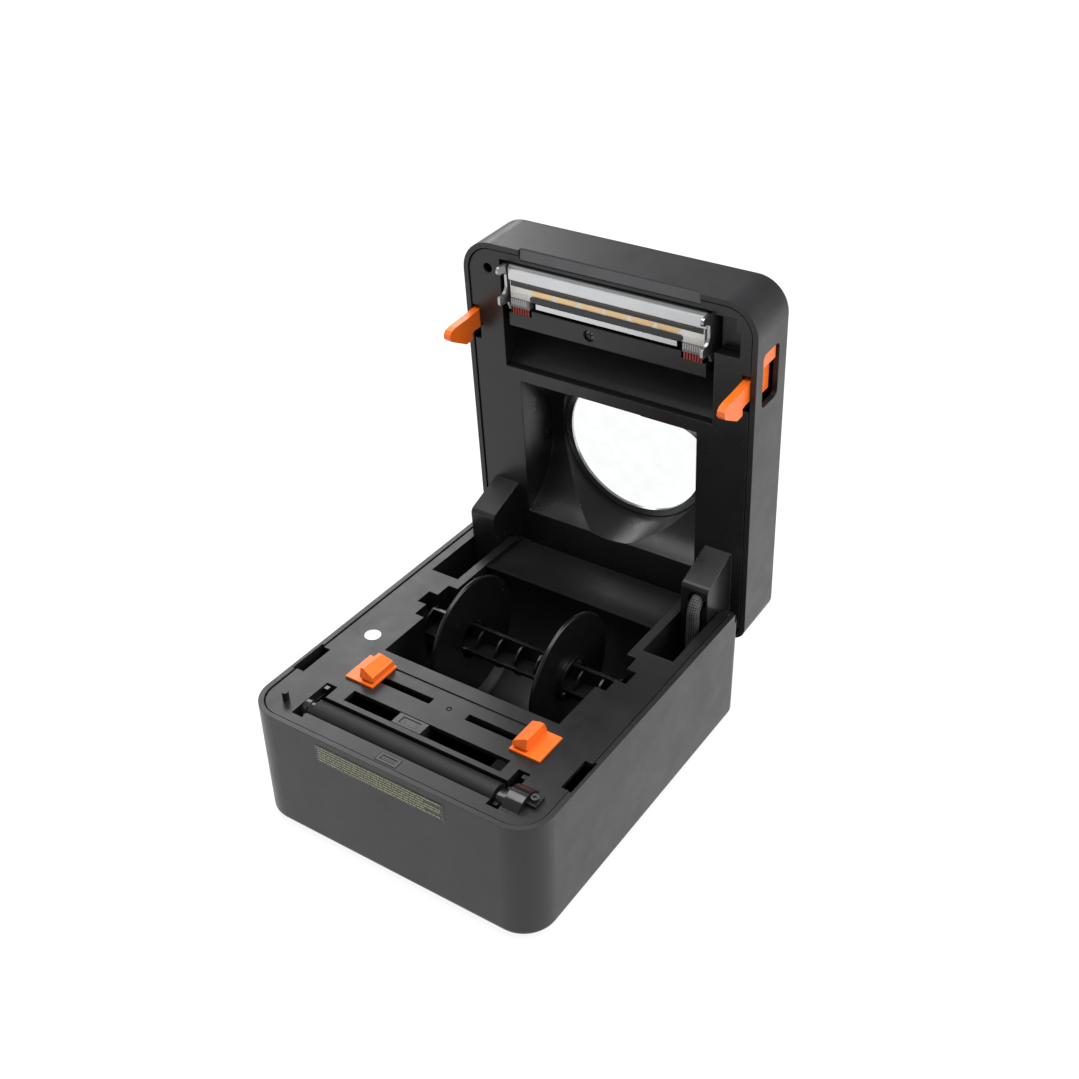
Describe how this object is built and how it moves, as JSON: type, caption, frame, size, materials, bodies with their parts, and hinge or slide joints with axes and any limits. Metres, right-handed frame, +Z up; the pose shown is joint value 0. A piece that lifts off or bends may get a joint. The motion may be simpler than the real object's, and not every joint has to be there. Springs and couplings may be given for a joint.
{
  "type": "thermal label printer",
  "caption": "Desktop direct thermal label printer with its clamshell lid open: roll bay with spindle, orange guides and latches, platen roller and print head",
  "frame": {"origin": "middle of the whole object, with its lid open, at the table surface under the rubber feet; the middle of the base is 20.6 mm in front of it", "axes": "X to the right seen from the front, Y from the front to the back, Z up"},
  "size_m": [0.178, 0.2516, 0.2583],
  "materials": {
    "case_grey": "matte",
    "feet_black": "matte",
    "steel": "satin",
    "deck_black": "matte",
    "braid": "woven",
    "platen_black": "matte",
    "black_plastic": "satin",
    "gear_white": "satin",
    "blackened_steel": "satin",
    "motor_black": "satin",
    "zinc": "satin",
    "brass": "satin",
    "board_green": "satin",
    "orange": "satin",
    "sticker_white": "matte",
    "film_clear": "clear",
    "lens_clear": "clear",
    "chrome_ring": "polished",
    "spring_steel": "polished",
    "bright_aluminium": "satin",
    "ceramic": "satin",
    "chip_black": "satin",
    "silver_strip": "satin",
    "grey_plastic": "satin",
    "wire_red": "satin",
    "light_pipe": "frosted"
  },
  "bodies": {
    "base": {"base_shell": "case_grey", "rubber_feet": "feet_black", "case_screws": "steel", "deck_frame": "deck_black", "hinge_pins": "steel", "cable_sleeve": "braid", "platen_bushings": "black_plastic", "gear_cover": "deck_black", "gear_cover_screw": "blackened_steel", "idler_pin": "steel", "stepper_motor": "motor_black", "motor_bracket": "zinc", "main_board": "board_green", "io_board": "board_green", "power_inlet": "black_plastic", "usb_socket": "steel", "switch_frame": "black_plastic", "pinion_screw": "steel", "front_sensor": "black_plastic", "blank_sticker": "sticker_white", "front_film": "film_clear"},
    "platen": {"platen_rubber": "platen_black", "platen_shaft": "steel", "platen_gear": "gear_white"},
    "idler": {"idler_gear": "gear_white"},
    "motor_rotor": {"motor_pinion": "brass", "motor_shaft": "steel"},
    "guide_left": {"guide_left": "orange", "rack_left": "black_plastic"},
    "guide_right": {"guide_right": "orange", "rack_right": "black_plastic"},
    "guide_pinion": {"guide_pinion": "gear_white"},
    "gap_sensor": {"gap_sensor": "deck_black"},
    "spindle": {"spindle": "deck_black"},
    "disc_left": {"disc_left": "deck_black"},
    "disc_right": {"disc_right": "deck_black"},
    "power_rocker": {"power_rocker": "black_plastic"},
    "lid": {"lid_shell": "case_grey", "lid_liner": "deck_black", "window_lens": "lens_clear", "window_ring": "chrome_ring", "tear_bar": "blackened_steel", "latch_pins": "steel", "latch_springs": "spring_steel", "head_pivot": "steel", "head_springs": "spring_steel", "status_light": "light_pipe", "button_board": "board_green"},
    "latch_left": {"latch_left": "orange"},
    "latch_right": {"latch_right": "orange"},
    "print_head": {"head_carrier": "deck_black", "heat_sink_bar": "bright_aluminium", "ceramic_board": "ceramic", "chip_cover": "chip_black", "clamp_strip": "silver_strip", "head_connectors": "grey_plastic", "head_wires": "wire_red", "head_brackets": "zinc", "carrier_screw": "blackened_steel"},
    "feed_button": {"feed_button": "grey_plastic"}
  },
  "joints": [
    {"name": "lid_hinge", "type": "hinge", "parent": "base", "child": "lid", "pos_m": [0, 0.0719, 0.0585], "axis": [1, 0, 0], "range_deg": [0, 87], "deforming": ["cable_sleeve"]},
    {"name": "latch_left_pivot", "type": "hinge", "parent": "lid", "child": "latch_left", "pos_m": [0, 0.10037, 0.2127], "axis": [1, 0, 0], "range_deg": [-5, 0], "stiffness_Nm_per_rad": 0.6, "deforming": ["latch_springs"]},
    {"name": "latch_right_pivot", "type": "hinge", "parent": "lid", "child": "latch_right", "pos_m": [0, 0.10037, 0.2127], "axis": [1, 0, 0], "range_deg": [-5, 0], "stiffness_Nm_per_rad": 0.6, "deforming": ["latch_springs"]},
    {"name": "head_tilt", "type": "hinge", "parent": "lid", "child": "print_head", "pos_m": [0, 0.09879, 0.21602], "axis": [1, 0, 0], "range_deg": [-1.2, 0], "stiffness_Nm_per_rad": 20, "deforming": ["head_springs"]},
    {"name": "platen_spin", "type": "hinge", "parent": "base", "child": "platen", "pos_m": [0, -0.1056, 0.069], "axis": [1, 0, 0], "continuous": true},
    {"name": "idler_spin", "type": "hinge", "parent": "base", "child": "idler", "pos_m": [0, -0.0956, 0.05156], "axis": [1, 0, 0], "continuous": true},
    {"name": "motor_spin", "type": "hinge", "parent": "base", "child": "motor_rotor", "pos_m": [0, -0.0866, 0.03821], "axis": [1, 0, 0], "continuous": true},
    {"name": "guide_left_slide", "type": "slide", "parent": "base", "child": "guide_left", "axis": [1, 0, 0], "range_m": [0, 0.032]},
    {"name": "guide_right_slide", "type": "slide", "parent": "base", "child": "guide_right", "axis": [-1, 0, 0], "range_m": [0, 0.032]},
    {"name": "guide_pinion_spin", "type": "hinge", "parent": "base", "child": "guide_pinion", "pos_m": [0.0024, -0.0718, 0.068], "axis": [0, 0, 1], "range_deg": [-385, 5]},
    {"name": "gap_sensor_slide", "type": "slide", "parent": "base", "child": "gap_sensor", "axis": [1, 0, 0], "range_m": [-0.028, 0.046]},
    {"name": "spindle_spin", "type": "hinge", "parent": "base", "child": "spindle", "pos_m": [0, -0.0016, 0.058], "axis": [1, 0, 0], "continuous": true},
    {"name": "disc_left_slide", "type": "slide", "parent": "spindle", "child": "disc_left", "axis": [1, 0, 0], "range_m": [-0.01, 0.022]},
    {"name": "disc_right_slide", "type": "slide", "parent": "spindle", "child": "disc_right", "axis": [1, 0, 0], "range_m": [-0.018, 0.016]},
    {"name": "feed_button_press", "type": "slide", "parent": "lid", "child": "feed_button", "axis": [0, -0.9986, -0.0523], "range_m": [0, 0.0008], "stiffness_N_per_m": 900},
    {"name": "power_rocker_tilt", "type": "hinge", "parent": "base", "child": "power_rocker", "pos_m": [0, 0.0829, 0.0205], "axis": [1, 0, 0], "range_deg": [0, 16]}
  ],
  "couplings": [
    {"joint": "idler_spin", "follows": "platen_spin", "ratio": -0.66667},
    {"joint": "motor_spin", "follows": "platen_spin", "ratio": 2},
    {"joint": "guide_right_slide", "follows": "guide_left_slide", "ratio": 1},
    {"joint": "guide_pinion_spin", "follows": "guide_left_slide", "rad_per_m": -208.33}
  ]
}
